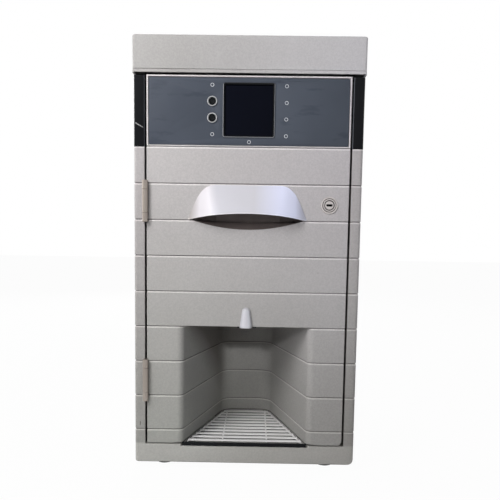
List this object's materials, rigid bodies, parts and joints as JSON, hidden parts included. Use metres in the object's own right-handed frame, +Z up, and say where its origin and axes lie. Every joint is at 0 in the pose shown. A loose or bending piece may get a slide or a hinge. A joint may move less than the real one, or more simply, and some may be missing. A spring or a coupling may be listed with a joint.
{
  "type": "hot coffee vending machine",
  "caption": "Table-top automatic coffee machine with a lockable grooved front door, control panel, awning handle, tapered cup niche, drip tray and hinged top cap.",
  "frame": {"origin": "middle of the footprint, on the surface that the feet stand on", "axes": "+Z up, front faces -Y, +X to the right of someone facing the front"},
  "size_m": [0.338, 0.54, 0.6458],
  "materials": {
    "silver_paint": "satin silver-grey paint on moulded plastic",
    "gloss_black": "glossy black",
    "slate_panel": "dark slate film",
    "grey_steel": "grey powder coat",
    "chrome": "polished",
    "nickel": "warm satin nickel",
    "dark_glass": "dark display glass",
    "bright_handle": "bright silver lacquer",
    "black_plastic": "moulded",
    "steel_bars": "bright bars",
    "rubber": "moulded",
    "board_green": "circuit board",
    "copper": "drawn tube",
    "smoke_plastic": "smoked clear plastic",
    "white_plastic": "moulded",
    "boiler_jacket": "insulating jacket",
    "brass": "turned"
  },
  "bodies": {
    "cabinet": {"front_frame": "silver_paint", "trim_left": "gloss_black", "trim_right": "gloss_black", "left_panel": "grey_steel", "right_panel": "grey_steel", "base_pan": "grey_steel", "rear_panel": "grey_steel", "mid_shelf": "grey_steel", "top_deck": "grey_steel", "foot_left_front": "rubber", "foot_left_rear": "rubber", "foot_right_front": "rubber", "foot_right_rear": "rubber", "strike_plate": "grey_steel", "door_hinge_upper_frame": "nickel", "door_hinge_lower_frame": "nickel", "lid_hinge_left_frame": "nickel", "lid_hinge_right_frame": "nickel", "boiler": "boiler_jacket", "boiler_pipe": "copper", "pump": "grey_steel", "brew_unit": "black_plastic", "grinder": "black_plastic", "bean_hopper": "smoke_plastic", "grounds_bin": "smoke_plastic", "power_board": "board_green", "water_inlet": "brass", "mains_inlet": "black_plastic"},
    "door": {"door_shell": "silver_paint", "niche_liner": "silver_paint", "control_fascia": "slate_panel", "display_bezel": "gloss_black", "display_window": "dark_glass", "display_module": "black_plastic", "control_board": "board_green", "panel_cover": "grey_steel", "handle": "bright_handle", "finger_cup": "black_plastic", "lock_body": "chrome", "key_ring_upper": "chrome", "key_ring_lower": "chrome", "spout_nose": "bright_handle", "outlet_head": "black_plastic", "door_hinge_upper_leaf": "nickel", "door_hinge_lower_leaf": "nickel"},
    "lock_barrel": {"lock_plug": "chrome", "lock_cam": "grey_steel"},
    "upper_key": {"key_upper": "black_plastic"},
    "lower_key": {"key_lower": "black_plastic"},
    "tray": {"drip_tray": "black_plastic"},
    "grille": {"drip_grille": "steel_bars"},
    "lid": {"lid_shell": "silver_paint", "lid_hinge_left_leaf": "nickel", "lid_hinge_right_leaf": "nickel"},
    "bean_cover": {"hopper_cover": "smoke_plastic"},
    "piston": {"brew_piston": "white_plastic"},
    "burr": {"grinder_burr": "steel_bars"}
  },
  "joints": [
    {"name": "door_hinge", "type": "hinge", "parent": "cabinet", "child": "door", "pos_m": [-0.1502, -0.2526, 0.272], "axis": [0, 0, -1], "range_deg": [0, 110]},
    {"name": "lid_hinge", "type": "hinge", "parent": "cabinet", "child": "lid", "pos_m": [0, 0.2581, 0.5907], "axis": [-1, 0, 0], "range_deg": [0, 80]},
    {"name": "lock_turn", "type": "hinge", "parent": "door", "child": "lock_barrel", "pos_m": [0.12, -0.248, 0.4062], "axis": [0, -1, 0], "range_deg": [0, 90]},
    {"name": "upper_key_press", "type": "slide", "parent": "door", "child": "upper_key", "axis": [0, 1, 0], "range_m": [0, 0.0015], "stiffness_N_per_m": 400, "springref_m": -0.001},
    {"name": "lower_key_press", "type": "slide", "parent": "door", "child": "lower_key", "axis": [0, 1, 0], "range_m": [0, 0.0015], "stiffness_N_per_m": 400, "springref_m": -0.001},
    {"name": "tray_lift", "type": "slide", "parent": "cabinet", "child": "tray", "axis": [0, 0, 1], "range_m": [0, 0.06]},
    {"name": "grille_lift", "type": "slide", "parent": "tray", "child": "grille", "axis": [0, 0, 1], "range_m": [0, 0.04]},
    {"name": "cover_lift", "type": "slide", "parent": "cabinet", "child": "bean_cover", "axis": [0, 0, 1], "range_m": [0, 0.05]},
    {"name": "piston_travel", "type": "slide", "parent": "cabinet", "child": "piston", "axis": [0, 0, 1], "range_m": [0, 0.025]},
    {"name": "burr_spin", "type": "hinge", "parent": "cabinet", "child": "burr", "pos_m": [0, 0.052, 0.432], "axis": [0, 0, 1], "continuous": true}
  ]
}
